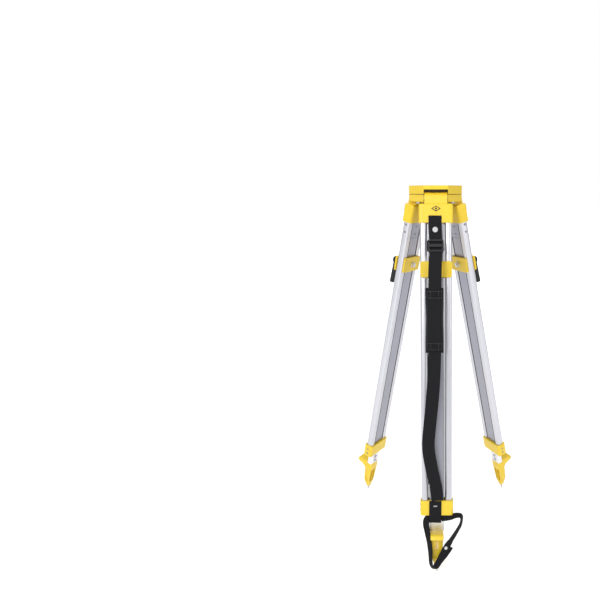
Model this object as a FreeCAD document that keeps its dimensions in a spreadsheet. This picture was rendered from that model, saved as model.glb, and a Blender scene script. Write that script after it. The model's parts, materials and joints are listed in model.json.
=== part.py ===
import FreeCAD, Part
import Sketcher
import math
import os

# Surveyor tripod with three extending legs.  Millimetres, +Z up.
# The origin is the centre of the head's top face.  The front leg points to -Y.
# Each leg is modelled hanging straight down from its hinge axis, which runs along X:
# outward is -Y, and "along" is the distance below the hinge axis.

Vector = FreeCAD.Vector
Rotation = FreeCAD.Rotation

SIZES = [
    # overall
    ("spread_angle", 12.9, "lean of a leg when the tripod stands, degrees"),
    ("leg_length", 1036.0, "hinge axis to the tip of the steel point"),
    ("hinge_radius", 52.5, "hinge axis to the tripod's axis"),
    ("hinge_depth", 8.0, "hinge axis below the joint of head plate and frame"),
    # clearances
    ("pin_gap", 0.05, "radial gap of a pin in its bore"),
    ("seat_gap", 0.15, "gap of a piece in a seat that it is fixed in"),
    ("slide_gap", 0.4, "gap of a sliding or turning piece beside its neighbour"),
    # head
    ("head_thick", 22.0, "head plate"),
    ("frame_thick", 19.0, "hinge frame under the head plate"),
    ("leg_side_reach", 65.0, "centre to a head side that carries a leg"),
    ("free_side_reach", 60.0, "centre to a head side between two legs"),
    ("head_hole_radius", 31.0, "centre hole of the head plate"),
    ("frame_hole_radius", 30.0, "centre hole of the hinge frame"),
    ("head_edge", 1.2, "chamfer round the head plate and the frame, at top and joint"),
    ("knuckle_radius", 12.5, "round knuckle of the hinge block"),
    ("knuckle_width", 60.0, "knuckle and neck"),
    ("notch_play", 1.5, "room beside and behind the knuckle"),
    ("hinge_pin_radius", 4.0, "hinge pin"),
    ("hinge_pin_grip", 4.5, "length of the hinge pin in each lobe of the frame"),
    ("frame_screw_radius", 3.0, "screw that joins the frame to the plate"),
    ("frame_screw_ring", 53.0, "distance of the frame screws from the centre"),
    ("arm_thick", 5.0, "swing arm"),
    ("arm_width", 28.0, "swing arm round the slot"),
    ("arm_end_radius", 9.0, "swing arm round its pivot"),
    ("arm_reach", 39.0, "swing arm's pivot to the head's centre"),
    ("arm_pivot_radius", 4.0, "pivot bolt of the swing arm"),
    ("arm_room_radius", 34.5, "recess under the head plate that the arm sweeps"),
    ("screw_radius", 7.9375, "5/8 inch thread of the fastening screw"),
    ("thread_length", 13.0, "thread of the fastening screw above its slider"),
    ("shank_radius", 7.5, "plain shank of the fastening screw"),
    ("screw_travel", 12.0, "the screw's travel along the arm, each way"),
    ("slider_width", 18.0, "slider that carries the screw in the arm's slot"),
    ("collar_radius", 12.0, "collar of the fastening screw under the arm"),
    ("knob_radius", 17.5, "hand knob"),
    ("knob_height", 24.0, "hand knob"),
    # outer leg
    ("tube_width", 20.0, "outer tube across the leg"),
    ("tube_depth", 23.0, "outer tube, front to back"),
    ("tube_corner", 8.0, "outer tube's corner radius"),
    ("tube_wall", 1.5, "outer tube's wall"),
    ("tube_spacing", 45.0, "clear width between the two tubes"),
    ("cap_width", 90.0, "hinge block's cap"),
    ("cap_depth", 31.0, "hinge block's cap"),
    ("cap_start", 18.0, "hinge axis to the cap's shoulders"),
    ("cap_length", 48.0, "cap along the leg"),
    ("plug_length", 38.0, "plugs below the cap, inside the tubes"),
    ("tongue_length", 44.0, "tongue plate below the cap"),
    ("bar_show", 48.0, "bar seen between the lower collar and the step"),
    ("collar_height", 42.0, "lower collar along the leg"),
    ("collar_width", 92.0, "lower collar"),
    ("collar_depth", 32.0, "lower collar"),
    ("collar_floor", 5.0, "floor of the collar's tube sockets"),
    ("rivet_radius", 2.0, "shank of a rivet or small screw"),
    # sliding leg
    ("bar_width", 42.0, "centre bar across the leg"),
    ("bar_depth", 17.0, "centre bar, front to back"),
    ("bar_corner", 2.5, "centre bar's corner radius"),
    ("bar_wall", 2.0, "centre bar's wall"),
    ("jaw_start", 165.0, "hinge axis to the clamp jaws"),
    ("jaw_height", 42.0, "clamp jaws along the leg"),
    ("jaw_width", 84.0, "clamp jaws across the leg"),
    ("jaw_thick", 4.5, "clamp jaws"),
    ("seat_thick", 3.0, "raised seat of the cam on the front jaw"),
    ("clamp_bolt_radius", 4.0, "clamp bolt"),
    ("cam_radius", 12.0, "round head of the cam lever"),
    ("lever_width", 24.0, "cam lever across the leg"),
    ("lever_thick", 8.0, "handle of the cam lever"),
    ("lever_length", 71.0, "cam lever, pivot to free end"),
    ("lever_lean", 2.5, "lean of the closed lever away from the leg, degrees"),
    ("lever_pin_radius", 3.0, "pin of the cam lever"),
    # foot
    ("foot_length", 125.0, "top of the step to the tip"),
    ("foot_width", 36.0, "step and foot casting"),
    ("step_reach", 48.0, "step outward from the leg's middle plane"),
    ("step_height", 32.0, "step along the leg"),
    ("tang_length", 30.0, "foot's tang inside the bar"),
    ("foot_bolt_radius", 3.0, "bolts of the foot"),
    ("point_radius", 5.0, "steel point at its root"),
    ("point_length", 18.0, "steel point outside the casting"),
    # straps on the front leg
    ("strap_width", 34.0, "carry strap webbing"),
    ("strap_thick", 2.4, "carry strap webbing"),
    ("pad_width", 44.0, "shoulder pad"),
    ("pad_thick", 9.0, "shoulder pad"),
    ("binding_radius", 3.0, "plain tube that stands for the binding strap"),
]


class Size:
    """A number together with the sheet formula that it comes from."""

    def __init__(self, value, formula=None):
        self.value = float(value)
        self.formula = formula or repr(float(value))

    def join(self, other, sign, value):
        return Size(value, "(" + self.formula + sign + other.formula + ")")

    def __add__(self, other):
        other = size_of(other)
        return self.join(other, " + ", self.value + other.value)

    def __sub__(self, other):
        other = size_of(other)
        return self.join(other, " - ", self.value - other.value)

    def __mul__(self, other):
        other = size_of(other)
        return self.join(other, " * ", self.value * other.value)

    def __truediv__(self, other):
        other = size_of(other)
        return self.join(other, " / ", self.value / other.value)

    def __radd__(self, other):
        return size_of(other) + self

    def __rsub__(self, other):
        return size_of(other) - self

    def __rmul__(self, other):
        return size_of(other) * self

    def __neg__(self):
        return size_of(0) - self


def size_of(number):
    return number if isinstance(number, Size) else Size(number)


class Sheet:
    """The driving dimensions, as attributes that are Size values."""

    def __init__(self, doc):
        cells = doc.addObject("Spreadsheet::Sheet", "dims")
        for row, (alias, value, note) in enumerate(SIZES, start=1):
            cells.set("A%d" % row, alias)
            cells.set("B%d" % row, str(value))
            cells.set("C%d" % row, note)
            cells.setAlias("B%d" % row, alias)
        doc.recompute()
        for alias, _, _ in SIZES:
            setattr(self, alias, Size(getattr(cells, alias), "dims." + alias))


doc = FreeCAD.newDocument("SurveyorTripod")
d = Sheet(doc)
hinge_drop = d.head_thick + d.hinge_depth

AXES = {
    "x": Rotation(Vector(0, 1, 0), 90),
    "y": Rotation(Vector(1, 0, 0), -90),
    "z": Rotation(),
}
nodes = []


def bind(item, name, size):
    size = size_of(size)
    if not name.startswith("Placement"):
        setattr(item, name, size.value)
    item.setExpression(name, size.formula)


def move(item, x, y, z, rotation=None):
    """Place an item and tie its place to the sheet."""
    spot = [size_of(x), size_of(y), size_of(z)]
    item.Placement = FreeCAD.Placement(Vector(*[s.value for s in spot]), rotation or Rotation())
    for axis, size in zip("xyz", spot):
        item.setExpression("Placement.Base." + axis, size.formula)


class Piece:
    """One body, built up from primitives, padded sketches and cuts."""

    def __init__(self, label):
        self.body = doc.addObject("PartDesign::Body", label)
        self.body.Label = label
        self.body.AllowCompound = True
        nodes.append(self.body)

    def primitive(self, shape, cut, spot, rotation, **sizes):
        kind = "PartDesign::" + ("Subtractive" if cut else "Additive") + shape
        item = self.body.newObject(kind, shape)
        for name, size in sizes.items():
            bind(item, name, size)
        move(item, *spot, rotation)
        return item

    def box(self, width, depth, height, x=0, y=0, z=0, cut=False):
        """A box centred on x and y, rising from z."""
        x, y, width, depth = size_of(x), size_of(y), size_of(width), size_of(depth)
        spot = (x - width / 2, y - depth / 2, z)
        return self.primitive("Box", cut, spot, None, Length=width, Width=depth, Height=height)

    def cylinder(self, radius, length, x=0, y=0, z=0, axis="z", cut=False):
        """A cylinder that starts at the point and runs along the axis."""
        return self.primitive("Cylinder", cut, (x, y, z), AXES[axis], Radius=radius, Height=length)

    def cone(self, start_radius, end_radius, length, x=0, y=0, z=0, axis="z", cut=False):
        spot = (x, y, z)
        return self.primitive("Cone", cut, spot, AXES[axis], Radius1=start_radius,
                              Radius2=end_radius, Height=length)

    def hexagon(self, radius, height, x=0, y=0, z=0, axis="z"):
        """A hexagon nut or bolt head, across its corners."""
        item = self.primitive("Prism", False, (x, y, z), AXES[axis], Circumradius=radius,
                              Height=height)
        item.Polygon = 6
        return item

    def wedge(self, top, bottom, z_top, z_bottom, cut=False):
        """A taper down the leg; top and bottom are (half width, y outward, y inward)."""
        top = [size_of(value) for value in top]
        bottom = [size_of(value) for value in bottom]
        kind = "PartDesign::" + ("Subtractive" if cut else "Additive") + "Wedge"
        item = self.body.newObject(kind, "Wedge")
        names = ("Xmin", "Xmax", "Zmin", "Zmax", "X2min", "X2max", "Z2min", "Z2max", "Ymin", "Ymax")
        values = (-top[0], top[0], top[1], top[2], -bottom[0], bottom[0], bottom[1], bottom[2],
                  0, z_top - z_bottom)
        start = {"Xmin": -500, "Xmax": 500, "Zmin": -500, "Zmax": 500, "X2min": -500,
                 "X2max": 500, "Z2min": -500, "Z2max": 500, "Ymin": -1, "Ymax": 500}
        for name in names:
            setattr(item, name, start[name])
        for name, value in zip(names, values):
            bind(item, name, value)
        move(item, 0, 0, z_top, Rotation(Vector(1, 0, 0), -90))
        return item

    def sketch(self, role, offset):
        """A sketch on one of the body's planes, raised by the offset."""
        sketch = self.body.newObject("Sketcher::SketchObject", "Sketch")
        plane = [item for item in self.body.Origin.OriginFeatures if item.Role == role][0]
        sketch.AttachmentSupport = [(plane, "")]
        sketch.MapMode = "FlatFace"
        offset = size_of(offset)
        sketch.AttachmentOffset = FreeCAD.Placement(Vector(0, 0, offset.value), Rotation())
        sketch.setExpression("AttachmentOffset.Base.z", offset.formula)
        return sketch

    def raise_sketch(self, sketch, length, cut, downward):
        kind = "PartDesign::Pocket" if cut else "PartDesign::Pad"
        item = self.body.newObject(kind, "Cut" if cut else "Pad")
        item.Profile = sketch
        item.Reversed = downward != cut
        bind(item, "Length", length)
        return item

    def rounded(self, width, depth, corner, z_top, z_bottom, x=0, y=0, cut=False):
        """A rounded rectangle centred on x and y, from z_top down to z_bottom."""
        z_top, z_bottom = size_of(z_top), size_of(z_bottom)
        sketch = self.sketch("XY_Plane", z_top)
        rounded_rectangle(sketch, width, depth, corner, x, y)
        return self.raise_sketch(sketch, z_top - z_bottom, cut, True)

    def polygon(self, points, role, offset, length, cut=False, downward=True):
        sketch = self.sketch(role, offset)
        sharp_polygon(sketch, points)
        return self.raise_sketch(sketch, length, cut, downward)

    def soften(self, kind, size, chosen):
        """Fillet or chamfer the edges of the newest shape for which chosen(edge) is true."""
        doc.recompute()
        base = self.body.Tip
        edges = base.Shape.Edges
        picked = ["Edge%d" % (n + 1) for n, edge in enumerate(edges) if chosen(edge)]
        item = self.body.newObject("PartDesign::" + kind, kind)
        item.Base = (base, picked)
        bind(item, "Radius" if kind == "Fillet" else "Size", size)
        return item

    def stand(self, leg):
        """Put a piece of a leg at its hinge, leaning out by the spread angle."""
        self.body.setExpression("Placement", leg_formula(leg))


def leg_formula(leg):
    yaw = 120 * leg
    return ("placement(vector(dims.hinge_radius * sin(%d); -dims.hinge_radius * cos(%d);"
            " -dims.head_thick - dims.hinge_depth); rotation(%d; 0; -dims.spread_angle))"
            % (yaw, yaw, yaw))


def leg_placement(leg):
    """The same place as leg_formula, for shapes that are made in code."""
    yaw = Rotation(Vector(0, 0, 1), 120 * leg)
    hinge = yaw.multVec(Vector(0, -d.hinge_radius.value, -hinge_drop.value))
    return FreeCAD.Placement(hinge, Rotation(120 * leg, 0, -d.spread_angle.value))


def constrain(sketch, kind, element, point, size):
    """Tie one coordinate of a sketch point to the sheet."""
    index = sketch.addConstraint(Sketcher.Constraint(kind, -1, 1, element, point, size.value))
    sketch.setExpression("Constraints[%d]" % index, size.formula)


def rounded_rectangle(sketch, width, depth, corner, x, y):
    """Four lines and four arcs; the arcs' centres and radii are tied to the sheet."""
    width, depth, corner = size_of(width), size_of(depth), size_of(corner)
    x, y = size_of(x), size_of(y)
    across = width / 2 - corner
    deep = depth / 2 - corner
    centres = [(x + across, y - deep), (x + across, y + deep),
               (x - across, y + deep), (x - across, y - deep)]
    radius = corner.value
    for turn in range(4):
        here, there = centres[turn - 1], centres[turn]
        angle = math.radians(90 * turn - 90)
        out = Vector(math.cos(angle), math.sin(angle), 0) * radius
        start = Vector(here[0].value, here[1].value, 0) + out
        end = Vector(there[0].value, there[1].value, 0) + out
        sketch.addGeometry(Part.LineSegment(start, end))
        centre = Vector(there[0].value, there[1].value, 0)
        circle = Part.Circle(centre, Vector(0, 0, 1), radius)
        sketch.addGeometry(Part.ArcOfCircle(circle, angle, angle + math.pi / 2))
    for turn in range(4):
        line, arc, next_line = 2 * turn, 2 * turn + 1, (2 * turn + 2) % 8
        sketch.addConstraint(Sketcher.Constraint("Tangent", line, 2, arc, 1))
        sketch.addConstraint(Sketcher.Constraint("Tangent", arc, 2, next_line, 1))
        index = sketch.addConstraint(Sketcher.Constraint("Radius", arc, radius))
        sketch.setExpression("Constraints[%d]" % index, corner.formula)
        constrain(sketch, "DistanceX", arc, 3, centres[turn][0])
        constrain(sketch, "DistanceY", arc, 3, centres[turn][1])


def sharp_polygon(sketch, points):
    points = [(size_of(x), size_of(y)) for x, y in points]
    count = len(points)
    for n, (x, y) in enumerate(points):
        far_x, far_y = points[(n + 1) % count]
        start = Vector(x.value, y.value, 0)
        sketch.addGeometry(Part.LineSegment(start, Vector(far_x.value, far_y.value, 0)))
    for n in range(count):
        sketch.addConstraint(Sketcher.Constraint("Coincident", n, 2, (n + 1) % count, 1))
    for n, (x, y) in enumerate(points):
        constrain(sketch, "DistanceX", n, 1, x)
        constrain(sketch, "DistanceY", n, 1, y)


def is_vertical(edge):
    ends = [vertex.Point for vertex in edge.Vertexes]
    return len(ends) == 2 and abs(ends[0].x - ends[1].x) + abs(ends[0].y - ends[1].y) < 1e-6


# ---------------------------------------------------------------- places along the leg

SIN60 = math.sqrt(3) / 2
tube_offset = (d.tube_spacing + d.tube_width) / 2
cap_end = d.cap_start + d.cap_length
tongue_end = cap_end + d.tongue_length
bar_start = tongue_end + 0.6
bolt_along = d.jaw_start + d.jaw_height / 2
foot_start = d.leg_length - d.foot_length
collar_end = foot_start - d.bar_show
collar_start = collar_end - d.collar_height
tube_start = d.cap_start + 6
tube_end = collar_end - d.collar_floor
jaw_inner = d.tube_depth / 2 + d.slide_gap
jaw_outer = jaw_inner + d.jaw_thick
cam_axis = jaw_outer + d.seat_thick + d.cam_radius + d.slide_gap
side_rivets = [cap_end + 7, cap_end + 27]
tongue_rivets = [cap_end + 13, cap_end + 34]
collar_screws = [collar_start + 15, collar_start + 30]
foot_bolts = [foot_start - 25, foot_start - 8]
notch_back = d.hinge_radius - d.knuckle_radius - d.notch_play
pin_half = d.knuckle_width / 2 + d.notch_play + d.hinge_pin_grip


# ---------------------------------------------------------------- head

def head_outline():
    """Corners of the six-sided head: a leg side and a free side in turn."""
    lean = (d.free_side_reach - d.leg_side_reach * 0.5) / SIN60
    points = []
    for leg in range(3):
        for side in (-1, 1):
            yaw = math.radians(120 * leg)
            across = lean * side
            points.append((across * math.cos(yaw) + d.leg_side_reach * math.sin(yaw),
                           across * math.sin(yaw) - d.leg_side_reach * math.cos(yaw)))
    return points


def turned_box(piece, leg, width, radial_from, radial_to, z_top, z_bottom, x=0, cut=False):
    """A box in one leg's direction: x across the leg, radial measured from the centre."""
    yaw = math.radians(120 * leg)
    x, width = size_of(x), size_of(width)
    corner_x = x - width / 2
    z_top, z_bottom = size_of(z_top), size_of(z_bottom)
    far = -size_of(radial_to)
    spot = (corner_x * math.cos(yaw) - far * math.sin(yaw),
            corner_x * math.sin(yaw) + far * math.cos(yaw), z_bottom)
    sizes = {"Length": width, "Width": radial_to - radial_from, "Height": z_top - z_bottom}
    turn = Rotation(Vector(0, 0, 1), 120 * leg)
    return piece.primitive("Box", cut, spot, turn, **sizes)


def turned_cylinder(piece, leg, radius, half_length, radial, z, cut=False):
    """A cylinder across one leg's direction, centred on it."""
    yaw = math.radians(120 * leg)
    start = -size_of(half_length)
    spot = (start * math.cos(yaw) + radial * math.sin(yaw),
            start * math.sin(yaw) - radial * math.cos(yaw), z)
    turn = Rotation(Vector(0, 0, 1), 120 * leg).multiply(AXES["x"])
    sizes = {"Radius": radius, "Height": half_length * 2}
    return piece.primitive("Cylinder", cut, spot, turn, **sizes)


def lobe_point(lobe, reach):
    """A point between two legs: lobe 0 is at the back, +Y."""
    angle = math.radians(90 + 120 * lobe)
    return reach * math.cos(angle), reach * math.sin(angle)


head_bottom = -d.head_thick
frame_bottom = -(d.head_thick + d.frame_thick)
notch_width = d.knuckle_width + d.notch_play * 2
recess_depth = d.arm_thick + d.slide_gap * 2
notch_top = -hinge_drop + d.knuckle_radius + d.notch_play * 2 + 4.5
screw_seat = 10.0


def make_head_plate():
    piece = Piece("head_plate")
    piece.polygon(head_outline(), "XY_Plane", 0, d.head_thick)
    piece.soften("Fillet", 3, is_vertical)
    rims = lambda edge: edge.BoundBox.ZLength < 0.01
    piece.soften("Chamfer", d.head_edge, rims)
    piece.cylinder(d.head_hole_radius, d.head_thick + 2, z=head_bottom - 1, cut=True)
    for leg in range(3):
        outer = d.leg_side_reach + 5
        turned_box(piece, leg, notch_width, notch_back, outer, notch_top, head_bottom - 1, cut=True)
        for side in (-1, 1):
            rib_x = side * (d.knuckle_width / 2 + d.notch_play + d.hinge_pin_grip / 2)
            rib_depth = d.hinge_pin_radius * 2 - d.seat_gap * 2
            rib_bottom = -hinge_drop + d.hinge_pin_radius + d.seat_gap
            turned_box(piece, leg, d.hinge_pin_grip - d.seat_gap * 2,
                       d.hinge_radius - rib_depth / 2, d.hinge_radius + rib_depth / 2,
                       head_bottom + 1, rib_bottom, x=rib_x)
    piece.cylinder(d.arm_room_radius, recess_depth + 1, z=head_bottom - 1, cut=True)
    piece.cylinder(d.arm_end_radius + 1.2, recess_depth + 1, y=d.arm_reach, z=head_bottom - 1,
                   cut=True)
    piece.box(d.arm_width + 9, d.arm_reach - 18, recess_depth + 1, y=d.arm_reach / 2 + 9,
              z=head_bottom - 1, cut=True)
    piece.cylinder(d.arm_pivot_radius + d.pin_gap, screw_seat + recess_depth, y=d.arm_reach,
                   z=head_bottom - 1, cut=True)
    for lobe in range(3):
        x, y = lobe_point(lobe, d.frame_screw_ring)
        piece.cylinder(d.frame_screw_radius + d.pin_gap, screw_seat + 1, x=x, y=y,
                       z=head_bottom - 1, cut=True)


def make_hinge_frame():
    piece = Piece("hinge_frame")
    piece.polygon(head_outline(), "XY_Plane", head_bottom, d.frame_thick)
    piece.soften("Fillet", 3, is_vertical)
    rims = lambda edge: edge.BoundBox.ZLength < 0.01
    piece.soften("Chamfer", d.head_edge, rims)
    piece.cylinder(d.frame_hole_radius, d.frame_thick + 2, z=frame_bottom - 1, cut=True)
    outer = d.leg_side_reach + 5
    for leg in range(3):
        turned_box(piece, leg, notch_width, notch_back, outer, head_bottom + 1, frame_bottom - 1,
                   cut=True)
        turned_cylinder(piece, leg, d.hinge_pin_radius + d.pin_gap, pin_half + d.seat_gap,
                        d.hinge_radius, -hinge_drop, cut=True)
        slot = d.hinge_pin_radius + d.pin_gap
        turned_box(piece, leg, (pin_half + d.seat_gap) * 2, d.hinge_radius - slot,
                   d.hinge_radius + slot, head_bottom + 1, -hinge_drop, cut=True)
    for lobe in range(3):
        x, y = lobe_point(lobe, d.frame_screw_ring)
        piece.cylinder(d.frame_screw_radius + d.pin_gap, d.frame_thick + 2, x=x, y=y,
                       z=frame_bottom - 1, cut=True)
    piece.cylinder(d.arm_pivot_radius + d.pin_gap, d.frame_thick + 2, y=d.arm_reach,
                   z=frame_bottom - 1, cut=True)


def make_frame_screws():
    piece = Piece("frame_screws")
    for lobe in range(3):
        x, y = lobe_point(lobe, d.frame_screw_ring)
        piece.cylinder(d.frame_screw_radius, d.frame_thick + screw_seat - 1, x=x, y=y,
                       z=frame_bottom)
        piece.hexagon(d.frame_screw_radius * 2, 4, x=x, y=y, z=frame_bottom - 4)


def make_hinge_pins():
    piece = Piece("hinge_pins")
    for leg in range(3):
        turned_cylinder(piece, leg, d.hinge_pin_radius, pin_half, d.hinge_radius, -hinge_drop)


arm_bottom = head_bottom + d.slide_gap
arm_top = arm_bottom + d.arm_thick


def make_swing_arm():
    piece = Piece("swing_arm")
    slot_reach = d.screw_travel + d.slider_width / 2
    arm_end = slot_reach + 5
    piece.box(d.arm_width, arm_end * 2, d.arm_thick, z=arm_bottom)
    piece.soften("Fillet", d.arm_width / 4, is_vertical)
    piece.box(d.arm_end_radius * 2, d.arm_reach, d.arm_thick, y=d.arm_reach / 2, z=arm_bottom)
    piece.cylinder(d.arm_end_radius, d.arm_thick, y=d.arm_reach, z=arm_bottom)
    piece.box(d.slider_width + d.slide_gap * 2, (slot_reach + d.slide_gap) * 2, d.arm_thick + 2,
              z=arm_bottom - 1, cut=True)
    piece.cylinder(d.arm_pivot_radius + d.pin_gap, d.arm_thick + 2, y=d.arm_reach,
                   z=arm_bottom - 1, cut=True)


def make_arm_pivot():
    piece = Piece("arm_pivot")
    piece.cylinder(d.arm_pivot_radius, d.frame_thick + recess_depth + 8, y=d.arm_reach,
                   z=frame_bottom)
    piece.hexagon(d.arm_pivot_radius * 1.5, 4, y=d.arm_reach, z=frame_bottom - 4)


def make_arm_slider():
    piece = Piece("arm_slider")
    flange = 2.5
    piece.box(d.slider_width, d.slider_width, d.arm_thick + d.slide_gap, z=arm_bottom)
    piece.cylinder(d.slider_width / 2 + 3.5, flange, z=arm_top + d.slide_gap)
    piece.cylinder(d.shank_radius + d.pin_gap, d.arm_thick + flange + 3, z=arm_bottom - 1,
                   cut=True)


knob_top = frame_bottom - 5


def make_fastening_screw():
    piece = Piece("fastening_screw")
    stem_end = knob_top - d.knob_height + 4
    piece.cylinder(d.shank_radius, -d.thread_length - stem_end, z=stem_end)
    piece.cylinder(d.screw_radius, d.thread_length, z=-d.thread_length)
    piece.cylinder(d.collar_radius, 4, z=arm_bottom - d.slide_gap - 4)


def make_hand_knob():
    piece = Piece("hand_knob")
    piece.cylinder(d.knob_radius, d.knob_height, z=knob_top - d.knob_height)
    rim = lambda edge: len(edge.Vertexes) == 1
    piece.soften("Fillet", 2, rim)
    grips = 8
    for grip in range(grips):
        angle = 2 * math.pi * grip / grips
        reach = d.knob_radius + 2
        piece.cylinder(4, d.knob_height + 2, x=reach * math.cos(angle),
                       y=reach * math.sin(angle), z=knob_top - d.knob_height - 1, cut=True)
    piece.cylinder(d.shank_radius + d.pin_gap, d.knob_height - 4, z=knob_top - d.knob_height + 4,
                   cut=True)


def make_plumb_hook():
    piece = Piece("plumb_hook")
    wire, ring = 1.3, 5.0
    top = knob_top - d.knob_height
    piece.cylinder(3.5, 4, z=top - 4)
    piece.primitive("Torus", False, (0, 0, top - 4 - ring), AXES["y"], Radius1=ring, Radius2=wire)


# ---------------------------------------------------------------- outer leg

def tube_rings(piece, gap, z_top, z_bottom, cut):
    """Both tubes' outer outline, grown by the gap."""
    for side in (-1, 1):
        piece.rounded(d.tube_width + gap * 2, d.tube_depth + gap * 2, d.tube_corner + gap,
                      z_top, z_bottom, x=tube_offset * side, cut=cut)


def tube_cores(piece, gap, z_top, z_bottom, cut):
    """Both tubes' inner outline, shrunk by the gap."""
    inset = d.tube_wall + gap
    for side in (-1, 1):
        piece.rounded(d.tube_width - inset * 2, d.tube_depth - inset * 2, d.tube_corner - inset,
                      z_top, z_bottom, x=tube_offset * side, cut=cut)


def side_holes(piece, radius, places, reach, depth):
    """Holes from both sides of the leg towards its middle."""
    for along in places:
        piece.cylinder(radius, depth, x=reach - depth, z=-along, axis="x", cut=True)
        piece.cylinder(radius, depth, x=-reach, z=-along, axis="x", cut=True)


def both_sides(piece, radius, head_radius, head_height, along, reach, depth):
    """A headed pin from each side of the leg, its head resting at the reach."""
    piece.cylinder(radius, depth, x=reach - depth, z=-along, axis="x")
    piece.cylinder(head_radius, head_height, x=reach, z=-along, axis="x")
    piece.cylinder(radius, depth, x=-reach, z=-along, axis="x")
    piece.cylinder(head_radius, head_height, x=-reach - head_height, z=-along, axis="x")


leg_side = tube_offset + d.tube_width / 2
plug_end = cap_end + d.plug_length
rivet_depth = 9.0


def make_hinge_block(leg, name):
    piece = Piece("hinge_block_" + name)
    piece.rounded(d.cap_width, d.cap_depth, 7, -d.cap_start, -cap_end)
    shoulders = lambda edge: (abs(edge.BoundBox.ZMin + d.cap_start.value) < 0.01
                              and edge.BoundBox.ZLength < 0.01)
    piece.soften("Fillet", 4, shoulders)
    piece.cylinder(d.knuckle_radius, d.knuckle_width, x=-d.knuckle_width / 2, axis="x")
    piece.box(d.knuckle_width, d.knuckle_radius * 2, d.cap_start + 6, z=-d.cap_start - 6)
    tube_rings(piece, d.seat_gap, -tube_start, -cap_end - 1, True)
    tube_cores(piece, d.seat_gap, -tube_start, -plug_end, False)
    tongue_top = d.cap_start + 22
    gap = d.seat_gap * 2
    piece.rounded(d.bar_width + gap, d.bar_depth + gap, d.bar_corner + d.seat_gap, -tongue_top,
                  -cap_end - 1, cut=True)
    wall = d.bar_wall * 2 + gap
    piece.box(d.bar_width - wall, d.bar_depth - wall, plug_end - tongue_top, z=-plug_end)
    piece.cylinder(d.hinge_pin_radius + d.pin_gap, d.knuckle_width + 2,
                   x=-d.knuckle_width / 2 - 1, axis="x", cut=True)
    hole = d.rivet_radius + d.pin_gap
    side_holes(piece, hole, side_rivets, leg_side, rivet_depth + d.seat_gap)
    for along in tongue_rivets:
        piece.cylinder(hole, d.bar_depth + 2, y=-d.bar_depth / 2 - 1, z=-along, axis="y", cut=True)
    badge = [(-13, -31), (0, -23), (13, -31), (0, -39)]
    piece.polygon(badge, "XZ_Plane", d.cap_depth / 2, 0.8, downward=False)
    piece.stand(leg)


def make_outer_tubes(leg, name):
    piece = Piece("outer_tubes_" + name)
    tube_rings(piece, size_of(0), -tube_start - d.seat_gap, -tube_end + d.seat_gap, False)
    tube_cores(piece, size_of(0), -tube_start - d.seat_gap, -tube_end + d.seat_gap, True)
    hole = d.rivet_radius + d.pin_gap
    side_holes(piece, hole, side_rivets + collar_screws, leg_side + 1, d.tube_wall + 3)
    piece.stand(leg)


def make_tongue_plate(leg, name):
    piece = Piece("tongue_plate_" + name)
    top = -(d.cap_start + 22 + d.seat_gap)
    wall = d.bar_wall * 2
    piece.rounded(d.bar_width, d.bar_depth, d.bar_corner, top, -tongue_end)
    piece.box(d.bar_width - wall, d.bar_depth - wall, d.tongue_length + 40, z=-tongue_end - 1,
              cut=True)
    for along in tongue_rivets:
        piece.cylinder(d.rivet_radius + d.pin_gap, d.bar_depth + 2, y=-d.bar_depth / 2 - 1,
                       z=-along, axis="y", cut=True)
    piece.stand(leg)


def make_leg_rivets(leg, name):
    """Rivets of the tubes and the tongue plate, and the small screws of the collar."""
    piece = Piece("leg_rivets_" + name)
    radius = d.rivet_radius
    head_radius, head_height = radius * 1.6, 1.3
    for along in side_rivets:
        both_sides(piece, radius, head_radius, head_height, along, leg_side, rivet_depth)
    for along in collar_screws:
        reach = d.collar_width / 2
        both_sides(piece, radius, radius * 1.5, 1, along, reach, reach - leg_side + 4)
    for along in tongue_rivets:
        piece.cylinder(radius, d.bar_depth / 2 - 1, y=1, z=-along, axis="y")
        piece.cylinder(head_radius, head_height, y=d.bar_depth / 2, z=-along, axis="y")
    piece.stand(leg)


def make_lower_collar(leg, name):
    piece = Piece("lower_collar_" + name)
    piece.rounded(d.collar_width, d.collar_depth, 8, -collar_start, -collar_end)
    rim = lambda edge: (edge.BoundBox.ZLength < 0.01)
    piece.soften("Fillet", 1.5, rim)
    tube_rings(piece, d.seat_gap, -collar_start + 1, -tube_end, True)
    piece.rounded(d.bar_width + d.slide_gap * 2, d.bar_depth + d.slide_gap * 2,
                  d.bar_corner + d.slide_gap, -collar_start + 1, -collar_end - 1, cut=True)
    side_holes(piece, d.rivet_radius + d.pin_gap, collar_screws, d.collar_width / 2 + 1, 12)
    piece.stand(leg)


# ---------------------------------------------------------------- sliding leg

def make_centre_bar(leg, name):
    piece = Piece("centre_bar_" + name)
    wall = d.bar_wall * 2
    piece.rounded(d.bar_width, d.bar_depth, d.bar_corner, -bar_start, -foot_start)
    piece.box(d.bar_width - wall, d.bar_depth - wall, foot_start - bar_start + 2,
              z=-foot_start - 1, cut=True)
    holes = [(along, d.foot_bolt_radius) for along in foot_bolts]
    holes.append((bolt_along, d.clamp_bolt_radius))
    for along, radius in holes:
        piece.cylinder(radius + d.pin_gap, d.bar_depth + 2, y=-d.bar_depth / 2 - 1, z=-along,
                       axis="y", cut=True)
    piece.stand(leg)


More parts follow.
